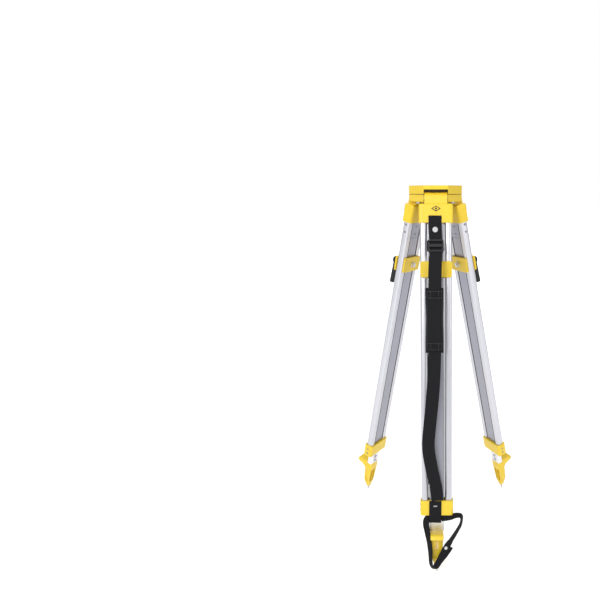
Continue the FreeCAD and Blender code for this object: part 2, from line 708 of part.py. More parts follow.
def jaw_plate(piece, side):
    """A flat jaw on one face of the leg, with a boss that reaches the bar."""
    middle = side * (jaw_inner + jaw_outer) / 2
    low = -(d.jaw_start + d.jaw_height)
    piece.box(d.jaw_width, d.jaw_thick, d.jaw_height, y=middle, z=low)
    across = lambda edge: edge.BoundBox.YLength > d.jaw_thick.value * 0.9
    piece.soften("Fillet", 6, across)
    boss = jaw_inner - d.bar_depth / 2 + 1
    piece.box(d.bar_width - 2, boss, d.jaw_height - 6, y=side * (d.bar_depth / 2 + boss / 2),
              z=low + 3)


def make_front_jaw(leg, name):
    piece = Piece("front_jaw_" + name)
    jaw_plate(piece, -1)
    piece.box(d.lever_width + 8, d.seat_thick, 30, y=-jaw_outer - d.seat_thick / 2,
              z=-bolt_along - 15)
    reach = jaw_outer + d.seat_thick + 1
    piece.cylinder(d.clamp_bolt_radius + d.pin_gap, reach, y=-reach, z=-bolt_along, axis="y",
                   cut=True)
    piece.stand(leg)


def make_back_jaw(leg, name):
    piece = Piece("back_jaw_" + name)
    jaw_plate(piece, 1)
    piece.cylinder(d.clamp_bolt_radius + d.pin_gap, jaw_outer + 1, z=-bolt_along, axis="y",
                   cut=True)
    piece.stand(leg)


nut_height = 6.5
washer_thick = 1.5


def make_clamp_bolt(leg, name):
    """Eye bolt with its washer and nut; the eye takes the lever's pin."""
    piece = Piece("clamp_bolt_" + name)
    height = -bolt_along
    piece.cylinder(d.clamp_bolt_radius * 2.1, washer_thick, y=jaw_outer, z=height, axis="y")
    piece.hexagon(d.clamp_bolt_radius * 1.85, nut_height, y=jaw_outer + washer_thick, z=height,
                  axis="y")
    piece.cylinder(d.clamp_bolt_radius + d.pin_gap, nut_height + 4, y=jaw_outer - 1, z=height,
                   axis="y", cut=True)
    end = jaw_outer + washer_thick + nut_height + 2
    piece.cylinder(d.clamp_bolt_radius, cam_axis + end, y=-cam_axis, z=height, axis="y")
    piece.cylinder(d.cam_radius - 3, 10, x=-5, y=-cam_axis, z=height, axis="x")
    piece.cylinder(d.lever_pin_radius + d.pin_gap, 12, x=-6, y=-cam_axis, z=height, axis="x",
                   cut=True)
    piece.stand(leg)


def make_lever_pin(leg, name):
    piece = Piece("lever_pin_" + name)
    piece.cylinder(d.lever_pin_radius, d.lever_width, x=-d.lever_width / 2, y=-cam_axis,
                   z=-bolt_along, axis="x")
    piece.stand(leg)


def make_cam_lever(leg, name):
    piece = Piece("cam_lever_" + name)
    width = d.lever_width
    piece.cylinder(d.cam_radius, width, x=-width / 2, y=-cam_axis, z=-bolt_along, axis="x")
    lean = Rotation(Vector(1, 0, 0), -d.lever_lean.value)
    outward = math.radians(d.lever_lean.value)
    foot = lean.multVec(Vector(0, 0, -d.lever_length.value))
    spot = (-width / 2, -cam_axis - d.lever_thick * math.cos(outward) + foot.y,
            -bolt_along + d.lever_thick * math.sin(outward) + foot.z)
    piece.primitive("Box", False, spot, lean, Length=width, Width=d.lever_thick,
                    Height=d.lever_length)
    low = -(bolt_along.value + d.lever_length.value * 0.8)
    corners = lambda edge: (edge.BoundBox.ZMax < low and edge.BoundBox.XLength < 0.01
                            and edge.BoundBox.YLength > d.lever_thick.value * 0.8)
    piece.soften("Fillet", width / 4, corners)
    slot = 10 + d.slide_gap * 2
    piece.cylinder(d.cam_radius - 3 + d.slide_gap, slot, x=-slot / 2, y=-cam_axis, z=-bolt_along,
                   axis="x", cut=True)
    shank = d.clamp_bolt_radius + d.slide_gap + 0.4
    piece.box(slot, d.cam_radius + 2 + shank, d.cam_radius + 2 + shank,
              y=-cam_axis + (d.cam_radius + 2 - shank) / 2, z=-bolt_along - shank, cut=True)
    piece.cylinder(d.lever_pin_radius + d.pin_gap, width + 2, x=-width / 2 - 1, y=-cam_axis,
                   z=-bolt_along, axis="x", cut=True)
    piece.stand(leg)


# ---------------------------------------------------------------- foot

step_end = foot_start + d.step_height
nose_start = d.leg_length - d.point_length - 28
nose_end = d.leg_length - d.point_length


def make_foot(leg, name):
    piece = Piece("foot_" + name)
    inward = d.bar_depth / 2 + 1.5
    depth = d.step_reach + inward
    piece.box(d.foot_width, depth, d.step_height, y=(inward - d.step_reach) / 2, z=-step_end)
    top_edge = lambda edge: (edge.BoundBox.ZMin > -foot_start.value - 0.01
                             and edge.BoundBox.YMax < -d.step_reach.value + 0.01)
    piece.soften("Fillet", d.step_height / 2, top_edge)
    sides = lambda edge: (edge.BoundBox.XLength < 0.01 and edge.BoundBox.ZLength > 1)
    piece.soften("Fillet", 3, sides)
    half = d.foot_width / 2
    piece.wedge((half, -16, inward), (half * 0.75, -14, inward - 2), -step_end, -nose_start)
    piece.wedge((half * 0.75, -14, inward - 2), (6, -6, 6), -nose_start, -nose_end)
    wall = d.bar_wall * 2 + d.seat_gap * 2
    piece.box(d.bar_width - wall, d.bar_depth - wall, d.tang_length + 1, z=-foot_start - 1)
    for side in (-1, 1):
        piece.box(half * 0.55, inward + 10, nose_start - step_end - 12, x=side * half * 0.38,
                  y=(inward - 8) / 2, z=-nose_start + 8, cut=True)
    piece.box(5, 6, 20, y=-16, z=-step_end - 22, cut=True)
    for along in foot_bolts:
        piece.cylinder(d.foot_bolt_radius + d.pin_gap, d.bar_depth, y=-d.bar_depth / 2, z=-along,
                       axis="y", cut=True)
    piece.cylinder(d.point_radius * 0.8 + d.pin_gap, 22, z=-nose_end - 1, cut=True)
    piece.stand(leg)


def make_foot_bolts(leg, name):
    piece = Piece("foot_bolts_" + name)
    for along in foot_bolts:
        piece.cylinder(d.foot_bolt_radius, d.bar_depth + 1, y=-d.bar_depth / 2 - 1, z=-along,
                       axis="y")
        piece.hexagon(d.foot_bolt_radius * 1.9, 4, y=d.bar_depth / 2, z=-along, axis="y")
    piece.stand(leg)


def make_steel_point(leg, name):
    piece = Piece("steel_point_" + name)
    piece.cylinder(d.point_radius * 0.8, 20, z=-nose_end)
    piece.cone(1.2, d.point_radius, d.point_length, z=-d.leg_length)
    piece.stand(leg)


# ---------------------------------------------------------------- straps on the front leg

def bent_path(points):
    """Straight runs joined by tangent arcs, each arc as large as its two runs allow."""
    edges, radii = [], []
    last = points[0]
    for before, corner, after in zip(points, points[1:], points[2:]):
        run_in, run_out = before - corner, after - corner
        turn = math.pi - run_in.getAngle(run_out)
        cut = 0.45 * min(run_in.Length, run_out.Length)
        start = corner + run_in.normalize() * cut
        end = corner + run_out.normalize() * cut
        middle_way = (run_in + run_out).normalize()
        radius = cut / math.tan(turn / 2)
        to_centre = radius / math.cos(turn / 2)
        middle = corner + middle_way * (to_centre - radius)
        edges.append(Part.LineSegment(last, start).toShape())
        edges.append(Part.Arc(start, middle, end).toShape())
        radii.append(radius)
        last = end
    edges.append(Part.LineSegment(last, points[-1]).toShape())
    return Part.Wire(edges), radii


def on_front_leg(route):
    """Route points (across, outward, along) as points below the hinge."""
    return [Vector(x, -outward, -along) for x, outward, along in route]


def strip_shape(route, width, thick):
    """A flat strap whose width stays across the leg."""
    points = on_front_leg(route)
    if len(points) > 2:
        path, radii = bent_path(points)
        print("arc radii", [round(radius, 1) for radius in radii])
    else:
        path = Part.Wire(Part.LineSegment(*points).toShape())
    run = (points[1] - points[0]).normalize()
    side = Vector(1, 0, 0)
    normal = run.cross(side).normalize() * (thick / 2)
    reach = side * (width / 2)
    start = points[0]
    corners = [start - reach - normal, start + reach - normal,
               start + reach + normal, start - reach + normal]
    pipe = Part.BRepOffsetAPI.MakePipeShell(path)
    pipe.setBiNormalMode(side)
    pipe.add(Part.makePolygon(corners + corners[:1]))
    pipe.build()
    pipe.makeSolid()
    shape = pipe.shape()
    ratio = shape.Volume / (width * thick * path.Length)
    print("strip volume / (section x length)", round(ratio, 4))
    return shape


def tube_shape(route, radius):
    points = on_front_leg(route)
    path, radii = bent_path(points)
    print("arc radii", [round(value, 1) for value in radii])
    ring = Part.Wire(Part.Circle(points[0], points[1] - points[0], radius).toShape())
    shape = path.makePipeShell([ring], True, False)
    ratio = shape.Volume / (math.pi * radius ** 2 * path.Length)
    print("tube volume / (section x length)", round(ratio, 4), "length", round(path.Length, 1))
    return shape


def soft_node(label, shape):
    item = doc.addObject("Part::Feature", label)
    item.Label = label
    item.Shape = shape
    item.Placement = leg_placement(0)
    nodes.append(item)


# Routes are (across, outward, along) and stay as chosen.
TOP_TAB_ROUTE = [(-2.5, 17.2, 49), (-2.5, 17.2, 72), (-1.8, 19.2, 92), (-1, 26.2, 111.7)]
UPPER_ROUTE = [(-1, 41.4, 144.9), (-2, 48.0, 158), (-3, 54.0, 179), (-4, 57.0, 207),
               (-4.5, 57.5, 235.5)]
PAD_ROUTE = [(-4.5, 57.5, 236), (-5, 58.0, 403)]
LOWER_ROUTE = [(-5, 58.0, 404), (-6, 57.5, 442), (-9, 55.5, 498), (-14, 52.0, 556),
               (-20, 48.0, 610), (-24, 43.5, 660), (-17, 38.5, 706), (-8, 32.0, 750),
               (0, 25.0, 788), (2, 19.6, 818)]
END_TAB_ROUTE = [(-4, 18.2, 820), (-4.5, 18.2, 858), (-5, 19.6, 882)]
BINDING_ROUTE = [(-2, 13.2, 872), (-17, 13.4, 871), (-29, 16.0, 873), (-33, 20.0, 890),
                 (-29, 25.0, 918), (-23, 28.0, 948), (-21, 30.0, 976), (-19, 31.5, 998),
                 (-14, 32.5, 1011), (-5, 32.0, 1006), (8, 31.0, 985), (22, 30.5, 957),
                 (37, 28.0, 935), (51, 26.0, 911), (66, 24.0, 885), (68, 20.0, 868),
                 (57, 17.5, 863), (38, 14.5, 869), (12, 13.2, 872)]


def make_straps():
    width, thick = d.strap_width.value, d.strap_thick.value
    soft_node("strap_top_tab", strip_shape(TOP_TAB_ROUTE, width, thick))
    soft_node("carry_webbing_upper", strip_shape(UPPER_ROUTE, width, thick))
    soft_node("shoulder_pad", strip_shape(PAD_ROUTE, d.pad_width.value, d.pad_thick.value))
    soft_node("carry_webbing_lower", strip_shape(LOWER_ROUTE, width, thick))
    soft_node("strap_end_tab", strip_shape(END_TAB_ROUTE, width, thick))
    soft_node("binding_strap", tube_shape(BINDING_ROUTE, d.binding_radius.value))


def make_strap_slider():
    """Three-bar slider between the top tab and the webbing."""
    piece = Piece("strap_slider")
    width, tall, thick, middle = 43, 35, 5, 128
    piece.box(width, thick, tall, x=-1, z=-tall / 2)
    piece.soften("Fillet", 5, lambda edge: edge.BoundBox.YLength > thick * 0.9)
    for side in (-1, 1):
        piece.box(width - 8.4, thick + 2, 9, x=-1, z=side * 8.5 - 4.5, cut=True)
    lean = Rotation(Vector(1, 0, 0), -24)
    spot = leg_placement(0).multiply(FreeCAD.Placement(Vector(0, -33.8, -middle), lean))
    piece.body.Placement = spot


def make_strap_rivets():
    """Rivet of the top tab, and the flat clip that holds the end tab."""
    piece = Piece("strap_rivets")
    top, end = tongue_rivets[0] + 6, collar_start + 13
    piece.cylinder(7, 1.6, x=-2.2, y=-20.9, z=-top, axis="y")
    piece.cylinder(d.rivet_radius, 10.6, x=-2.2, y=-19.3, z=-top, axis="y")
    piece.box(10, 1.2, 3.5, x=-4.1, y=-20.0, z=-end - 1.7)
    piece.stand(0)


# ---------------------------------------------------------------- build and write

make_head_plate()
make_hinge_frame()
make_frame_screws()
make_hinge_pins()
make_swing_arm()
make_arm_pivot()
make_arm_slider()
make_fastening_screw()
make_hand_knob()
make_plumb_hook()

LEG_PIECES = [
    make_hinge_block, make_outer_tubes, make_tongue_plate, make_leg_rivets, make_lower_collar,
    make_centre_bar, make_front_jaw, make_back_jaw, make_clamp_bolt, make_lever_pin,
    make_cam_lever, make_foot, make_foot_bolts, make_steel_point,
]
for leg, name in enumerate(("front", "right", "left")):
    for make_piece in LEG_PIECES:
        make_piece(leg, name)

make_straps()
make_strap_slider()
make_strap_rivets()
doc.recompute()

for item in doc.Objects:
    if "Invalid" in item.State or "Error" in item.State:
        raise RuntimeError("%s (%s) failed" % (item.Label, item.Name))
for node in nodes:
    if node.Shape.isNull() or not node.Shape.isValid() or not node.Shape.Solids:
        raise RuntimeError("%s has no valid shape" % node.Label)

os.makedirs("parts", exist_ok=True)
for node in nodes:
    node.Shape.exportStep("parts/%s.step" % node.Label)
print(len(nodes), "nodes written")
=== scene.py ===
# %% [markdown]
# # A surveyor's tripod
# A flat yellow head, three leaning legs of oval aluminium tube, a sliding bar in each leg,
# cam clamps with black levers, cast feet with steel points, and a carrying strap on the
# front leg.  The measured model comes first and is never moved.  Everything made here lies
# on it, in metres, and rides on one of its bodies.

# %% Load the measured model
import json
import math

import bmesh
import bpy
from mathutils import Matrix, Vector


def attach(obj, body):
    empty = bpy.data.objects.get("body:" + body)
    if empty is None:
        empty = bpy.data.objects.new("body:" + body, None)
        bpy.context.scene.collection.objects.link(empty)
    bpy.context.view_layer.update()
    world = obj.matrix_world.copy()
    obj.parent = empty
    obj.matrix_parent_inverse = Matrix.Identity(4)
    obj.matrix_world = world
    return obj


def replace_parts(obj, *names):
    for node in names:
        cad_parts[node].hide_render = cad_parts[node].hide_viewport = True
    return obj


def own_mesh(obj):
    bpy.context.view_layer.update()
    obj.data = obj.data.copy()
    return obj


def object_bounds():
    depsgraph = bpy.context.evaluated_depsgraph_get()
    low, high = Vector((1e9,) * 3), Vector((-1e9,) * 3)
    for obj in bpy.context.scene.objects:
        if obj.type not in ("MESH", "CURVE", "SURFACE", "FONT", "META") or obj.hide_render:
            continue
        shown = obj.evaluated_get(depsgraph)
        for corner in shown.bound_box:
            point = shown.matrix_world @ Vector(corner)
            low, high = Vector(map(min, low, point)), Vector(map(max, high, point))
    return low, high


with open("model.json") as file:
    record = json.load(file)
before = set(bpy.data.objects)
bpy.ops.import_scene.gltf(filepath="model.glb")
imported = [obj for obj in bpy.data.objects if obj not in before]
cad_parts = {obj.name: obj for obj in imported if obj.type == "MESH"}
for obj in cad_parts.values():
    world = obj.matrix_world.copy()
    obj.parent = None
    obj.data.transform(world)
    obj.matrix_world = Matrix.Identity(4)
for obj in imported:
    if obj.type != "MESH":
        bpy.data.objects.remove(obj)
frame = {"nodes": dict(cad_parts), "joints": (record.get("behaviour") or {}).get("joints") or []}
cad_box = [list(corner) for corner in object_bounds()]
nodes = frame["nodes"]
joints = {joint["name"]: joint for joint in frame["joints"]}
scene = bpy.context.scene
LEGS = ("front", "right", "left")
floor_height = cad_box[0][2]
print("model box", cad_box)

# %% [markdown]
# ## Working on a leaning leg
# A leg is easier to think about hanging straight down from its hinge.  Its hinge axis and
# its sliding direction give a matrix that carries such a hanging piece to its real place:
# x across the leg, y inward, z up along it, and the origin on the hinge axis.


# %% From a hanging leg to a leaning one
def leg_frame(name):
    hinge, slide = joints["leg_spread_" + name], joints["leg_extend_" + name]
    across, up = -Vector(hinge["axis"]), -Vector(slide["axis"])
    turn = Matrix((across, up.cross(across), up)).transposed().to_4x4()
    return Matrix.Translation(hinge["pos_m"]) @ turn


PLACES = {name: leg_frame(name) for name in LEGS}
lean = math.degrees(PLACES["front"].to_euler().x)
print("the front leg leans", round(lean, 2), "degrees")

# %% [markdown]
# ## Camera and floor
# The camera stands level with the head and looks a little down, so that the head's top is
# seen edge-on.  The tripod stands right of the middle of the view by the camera's shift.

# %% Camera
camera = bpy.data.objects.new("camera", bpy.data.cameras.new("camera"))
scene.collection.objects.link(camera)
camera.data.sensor_width = 36.0
camera.data.lens = 29.77
camera.data.shift_x = -0.2258
camera.data.shift_y = 0.117
camera.data.clip_start = 0.02
DISTANCE, EYE_HEIGHT, LOOK_DOWN, AROUND = 1.428, -0.0153, math.radians(19.8), math.radians(-0.84)
camera.location = (DISTANCE * math.sin(AROUND), -DISTANCE * math.cos(AROUND), EYE_HEIGHT)
camera.rotation_euler = (math.pi / 2 - LOOK_DOWN, 0, AROUND)
scene.camera = camera
scene.view_settings.view_transform = "Standard"

# %% Floor
floor = bmesh.new()
bmesh.ops.create_grid(floor, x_segments=1, y_segments=1, size=30)
bmesh.ops.translate(floor, verts=floor.verts, vec=(0, 0, floor_height - 0.0003))
floor_mesh = bpy.data.meshes.new("floor")
floor.to_mesh(floor_mesh)
floor.free()
floor_object = bpy.data.objects.new("floor", floor_mesh)
scene.collection.objects.link(floor_object)

# %% [markdown]
# ## Shader maths that reads like sums
# A procedural finish is a sum of patterns.  Wiring each Math node by hand hides the sum, so
# a socket is wrapped in a small class whose operators add the nodes.  A finish sets its
# plain numbers on the shader itself and links only what varies over the surface.


# %% Sockets with operators
class Signal:
    def __init__(self, finish, socket):
        self.finish, self.socket = finish, socket

    def maths(self, operation, *values):
        sockets = dict(enumerate(values))
        return self.finish.node("ShaderNodeMath", {"operation": operation}, sockets)

    def __add__(self, other):
        return self.maths("ADD", self, other)

    __radd__ = __add__

    def __sub__(self, other):
        return self.maths("SUBTRACT", self, other)

    def __rsub__(self, other):
        return self.maths("SUBTRACT", other, self)

    def __mul__(self, other):
        return self.maths("MULTIPLY", self, other)

    def wave(self, pitch):
        """A sine of this signal, from -1 to 1, with the given pitch."""
        return self.maths("SINE", self * (2 * math.pi / pitch))

    def above(self, edge):
        return self.maths("GREATER_THAN", self, edge)

    def below(self, edge):
        return self.maths("LESS_THAN", self, edge)

    def positive(self):
        return self.maths("MAXIMUM", self, 0.0)

    def size(self):
        return self.maths("ABSOLUTE", self)


class Finish:
    """A material round one Principled shader; numbers alone go straight on its sockets."""

    def __init__(self, name, owner=None, **numbers):
        self.material = owner or bpy.data.materials.new(name)
        self.material.use_nodes = True
        self.tree = self.material.node_tree
        self.shader = self.tree.nodes["Background" if owner else "Principled BSDF"]
        for socket, value in numbers.items():
            self.shader.inputs[socket.replace("_", " ")].default_value = value

    def node(self, kind, settings, sockets, output=0):
        made = self.tree.nodes.new(kind)
        for name, value in settings.items():
            setattr(made, name, value)
        for socket, value in sockets.items():
            if isinstance(value, Signal):
                self.tree.links.new(value.socket, made.inputs[socket])
            else:
                made.inputs[socket].default_value = value
        return Signal(self, made.outputs[output])

    def set(self, **signals):
        for socket, signal in signals.items():
            self.tree.links.new(signal.socket, self.shader.inputs[socket.replace("_", " ")])
        return self.material

    def place(self, kind="Object"):
        return self.node("ShaderNodeTexCoord", {}, {}, kind)

    def on_leg(self, name):
        """Object coordinates turned into the hanging leg's own."""
        spot, turn, _ = PLACES[name].decompose()
        sockets = {"Vector": self.place(), "Location": spot, "Rotation": turn.to_euler()}
        return self.node("ShaderNodeMapping", {"vector_type": "TEXTURE"}, sockets)

    def stretched(self, vector, factors):
        sockets = {0: vector, 1: factors}
        return self.node("ShaderNodeVectorMath", {"operation": "MULTIPLY"}, sockets)

    def length(self, vector):
        return self.node("ShaderNodeVectorMath", {"operation": "LENGTH"}, {0: vector}, 1)

    def part(self, vector, axis):
        return self.node("ShaderNodeSeparateXYZ", {}, {0: vector}, axis)

    def noise(self, vector, scale, detail=2.0):
        sockets = {"Vector": vector, "Scale": scale, "Detail": detail}
        return self.node("ShaderNodeTexNoise", {}, sockets)

    def mix(self, share, first, second):
        sockets = {0: share, 6: first, 7: second}
        return self.node("ShaderNodeMix", {"data_type": "RGBA"}, sockets, 2)

    def bump(self, height, depth, strength=1.0, round_edges=0.0):
        """Bumps of a real depth in metres, over edges that are rounded by a radius."""
        sockets = {"Height": height, "Distance": depth, "Strength": strength}
        if round_edges:
            radius = {"Radius": round_edges}
            sockets["Normal"] = self.node("ShaderNodeBevel", {"samples": 4}, radius)
        return self.node("ShaderNodeBump", {}, sockets)


# %% [markdown]
# ## A pale room and three soft lamps
# Satin metal shows the room it stands in.  A room that is white all round makes it flat, so
# this one is bright above and behind the camera, less bright on the left and grey elsewhere,
# and the tubes get their soft bands from that.  The camera itself sees plain white.

# %% The room
world = bpy.data.worlds.new("studio")
scene.world = world
room = Finish("studio", world)
way = room.place("Generated")
sideways, ahead, upward = (room.part(way, axis) for axis in "XYZ")
from_above = upward.positive() * 0.42
from_camera = (0.0 - ahead).positive() * 0.34
from_left = (0.0 - sideways).positive() * 0.20
room.set(Strength=from_above + from_camera + from_left + 0.20)
room.shader.inputs["Color"].default_value = (0.97, 0.975, 1.0, 1)
plain = room.tree.nodes.new("ShaderNodeBackground")
plain.inputs["Strength"].default_value = 1.0
plain.inputs["Color"].default_value = (1.0, 1.0, 1.0, 1)
seen = room.node("ShaderNodeLightPath", {}, {}, "Is Camera Ray")
either = room.node("ShaderNodeMixShader", {}, {0: seen}).socket.node
room.tree.links.new(room.shader.outputs[0], either.inputs[1])
room.tree.links.new(plain.outputs[0], either.inputs[2])
room.tree.links.new(either.outputs[0], room.tree.nodes["World Output"].inputs["Surface"])


# %% The lamps
def lamp(name, spot, target, size, power):
    light = bpy.data.lights.new(name, "AREA")
    light.size, light.energy = size, power
    holder = bpy.data.objects.new(name, light)
    scene.collection.objects.link(holder)
    holder.location = spot
    holder.rotation_euler = (Vector(target) - Vector(spot)).to_track_quat("-Z", "Y").to_euler()


middle = (0, 0, floor_height / 2)
lamp("key", (-0.9, -2.2, 1.0), middle, 1.1, 30)
lamp("fill", (1.9, -1.5, 0.3), middle, 0.8, 7)
lamp("top", (0.1, 0.5, 1.9), middle, 1.5, 15)

# %% [markdown]
# ## Yellow paint on castings
# The head, caps, clamps, collars and feet are die castings under a satin yellow coat.  Such
# paint has a faint orange peel about two millimetres across, a finer grain from the sand or
# die below it, and soft edges everywhere.  A bevel node rounds the edges for the light
# without touching the measured shape.  On the head, grime lies in the joint between plate
# and frame, and painted shade darkens the inside of the hinge notches.


# %% Yellow paint
# the dark colour is grime in the head's joint and painted shade inside its hinge notches
JOINT_LINE, NOTCH_REACH, GRIME_AND_SHADE = 0.0009, 0.0585, (0.10, 0.06, 0.006, 1)


def yellow_paint(name, joint=None, notch=None):
    """Paint for castings; grime lies at a joint's height, and painted shade below a notch's top,
    inside.
    """
    finish = Finish(name, Coat_Weight=0.25, Coat_Roughness=0.22, IOR=1.5)
    place = finish.place()
    peel = finish.noise(place, 420)
    grain = finish.noise(place, 1900, 3)
    cloud = finish.noise(place, 38, 3)
    colour = finish.mix(cloud, (0.84, 0.57, 0.018, 1), (0.90, 0.65, 0.030, 1))
    if joint is not None:
        height = finish.part(place, "Z")
        near = (height - joint).size().below(JOINT_LINE)
        colour = finish.mix(near * 0.8, colour, GRIME_AND_SHADE)
        # painted shade: inside the hinge notches, below the notch's top, the paint is darkened
        reach = finish.length(finish.stretched(place, (1, 1, 0)))
        inside = reach.below(NOTCH_REACH) * height.below(notch)
        colour = finish.mix(inside * 0.9, colour, GRIME_AND_SHADE)
    return finish.set(
        Base_Color=colour,
        Roughness=0.33 + peel * 0.10 + grain * 0.06,
        Normal=finish.bump(peel * 0.7 + grain * 0.3, 0.00022, 0.5, 0.0009),
    )


YELLOW = yellow_paint("yellow_paint")
HEAD_YELLOW = yellow_paint("head_yellow_paint", -0.022, -0.0098)

# %% [markdown]
# ## Drawn aluminium
# The tubes and bars are extruded and satin anodised.  The die leaves fine lines that run the
# whole length of the leg, so a noise is squeezed across the leg and stretched along it.
# Each leg leans its own way, and the pattern is turned with it.  The metal darkens a little
# down the leg, painted shade darkens tube and bar where they face each other, and the bar
# carries painted shade between the tubes and painted light below the collar.


# %% Leg aluminium: the tubes and the bars of each leg, the bars darker as painted shade
GAP_SHADE_BAND, COLLAR_END, DARKENING = (0.0198, 0.0243), -0.862, -0.45


def leg_aluminium(name, kind, dark, light):
    finish = Finish("%s_aluminium_%s" % (kind, name), Metallic=1.0)
    leg = finish.on_leg(name)
    lines = finish.noise(finish.stretched(leg, (1, 1, 0.006)), 1500, 3)
    broad = finish.noise(finish.stretched(leg, (1, 1, 0.02)), 130, 2)
    cloud = finish.noise(leg, 9, 3)
    across, along = finish.part(leg, "X"), finish.part(leg, "Z")
    from_middle = across.size()
    bare = finish.mix(lines * 0.7 + broad * 0.3, dark, light)
    # darker towards the foot of the leg
    darker_down = finish.mix(along * DARKENING, bare, tuple(0.62 * value for value in dark))
    # painted shade: a dark line on tube and bar where they face each other
    gap_shade = from_middle.above(GAP_SHADE_BAND[0]) * from_middle.below(GAP_SHADE_BAND[1])
    with_gap_shade = finish.mix(gap_shade, darker_down, (0.10, 0.10, 0.11, 1))
    # painted light: the bar is painted lighter below the collar, where it stands out of the tubes'
    # shade
    lit_below_collar = finish.mix(lines, (0.76, 0.76, 0.79, 1), (0.92, 0.92, 0.94, 1))
    colour = finish.mix(along.above(COLLAR_END), lit_below_collar, with_gap_shade)
    return finish.set(
        Base_Color=colour,
        Roughness=0.30 + lines * 0.13 + cloud * 0.08,
        Normal=finish.bump(lines * 0.8 + broad * 0.2, 0.00006, 0.6, 0.0005),
    )


TUBE_TONES = (0.72, 0.72, 0.76, 1), (0.88, 0.88, 0.92, 1)
# the bars' darker tones are painted shade, for their place between the tubes
SHADED_BAR_TONES = (0.40, 0.40, 0.45, 1), (0.52, 0.52, 0.58, 1)
TUBES = {name: leg_aluminium(name, "tube", *TUBE_TONES) for name in LEGS}
BARS = {name: leg_aluminium(name, "bar", *SHADED_BAR_TONES) for name in LEGS}


# %% [markdown]
# ## Steel, brass and black plastic
# Rivets, bolts and points are steel with fine turning marks and a little unevenness in their
# shine.  Bolts and points are bright; the rivet heads on the legs and the collar's screws are
# a darker steel, painted shade for the shadow round them.  Levers, slider and knob are moulded
# plastic, whose skin has a fine leathery texture from the mould.

# %% Small metal and plastic finishes
def plain_metal(name, light, dark, roughness, scale=1400):
    finish = Finish(name, Metallic=1.0)
    place = finish.place()
    fine, cloud = finish.noise(place, scale, 3), finish.noise(place, 160, 3)
    return finish.set(
        Base_Color=finish.mix(cloud, dark, light),
        Roughness=roughness + fine * 0.14,
        Normal=finish.bump(fine, 0.00005, 0.5, 0.0004),
    )


STEEL = plain_metal("bright_steel", (0.80, 0.80, 0.79, 1), (0.62, 0.62, 0.62, 1), 0.20)
POINT_STEEL = plain_metal("point_steel", (0.74, 0.73, 0.70, 1), (0.50, 0.49, 0.47, 1), 0.27)
# painted shade: rivet and screw heads in a darker steel for the shadow round them
SHADED_RIVET_METAL = plain_metal("shaded_rivet_metal", (0.40, 0.40, 0.42, 1), (0.24, 0.24, 0.26, 1), 0.26)
DULL_STEEL = plain_metal("dull_steel", (0.52, 0.52, 0.52, 1), (0.38, 0.38, 0.38, 1), 0.36)
BRASS = plain_metal("brass", (0.80, 0.62, 0.29, 1), (0.62, 0.46, 0.19, 1), 0.24)


def moulded_plastic(name, light, dark):
    finish = Finish(name, IOR=1.49)
    place = finish.place()
    sockets = {"Vector": place, "Scale": 1100.0}
    skin = finish.node("ShaderNodeTexVoronoi", {"feature": "SMOOTH_F1"}, sockets)
    cloud = finish.noise(place, 90, 3)
    return finish.set(
        Base_Color=finish.mix(cloud, dark, light),
        Roughness=0.40 + skin * 0.16,
        Normal=finish.bump(skin, 0.00012, 0.6, 0.0007),
    )


PLASTIC = moulded_plastic("black_plastic", (0.016, 0.016, 0.018, 1), (0.006, 0.006, 0.007, 1))

# %% [markdown]
# ## Webbing
# Strap webbing is woven so tightly that only its ribs show: short ridges across the strap,
# about a millimetre and a half apart, in columns of warp yarn that are offset by half a
# rib.  Each strap carries a UV map in metres, across and along, so the ribs follow its
# bends.


# %% Woven finishes
def webbing(name, light, dark, rib=0.0017, column=0.0024, depth=0.00035):
    finish = Finish(name, IOR=1.22)
    uv = finish.node("ShaderNodeUVMap", {"uv_map": "weave"}, {})
    across, along = finish.part(uv, "X"), finish.part(uv, "Y")
    lean_in = across.wave(column * 2).above(0.0) * (rib / 2)
    ribs = (along + lean_in).wave(rib) * 0.5 + 0.5
    ends = across.wave(column) * 0.5 + 0.5
    fibres = finish.noise(finish.stretched(uv, (900, 5000, 1)), 1.0, 3)
    height = ribs * 0.62 + ends * 0.23 + fibres * 0.15
    return finish.set(
        Base_Color=finish.mix(height, dark, light),
        Roughness=0.80 - ribs * 0.18,
        Normal=finish.bump(height, depth, 0.8),
    )


WEBBING = webbing("black_webbing", (0.020, 0.020, 0.022, 1), (0.004, 0.004, 0.005, 1))
TAPE = webbing("edge_tape", (0.060, 0.060, 0.066, 1), (0.020, 0.020, 0.023, 1),
               rib=0.0011, column=0.0013, depth=0.0002)


def pad_cloth(name):
    finish = Finish(name, IOR=1.22)
    place = finish.on_leg("front")
    across, along = finish.part(place, "X"), finish.part(place, "Z")
    weave = across.wave(0.0011) * along.wave(0.0011) * 0.5 + 0.5
    cloud = finish.noise(place, 60, 3)
    worn = weave * 0.6 + cloud * 0.4
    return finish.set(
        Base_Color=finish.mix(worn, (0.004, 0.004, 0.005, 1), (0.018, 0.018, 0.020, 1)),
        Roughness=0.86 - weave * 0.12,
        Normal=finish.bump(weave * 0.7 + cloud * 0.3, 0.00025, 0.7),
    )


PAD_CLOTH = pad_cloth("pad_cloth")

# %% [markdown]
# ## Floor paper
# The floor is pale paper that fades into the white room.  Its glow does that: it is weak
# near the tripod and full far from it, and weaker still in what the metal mirrors.


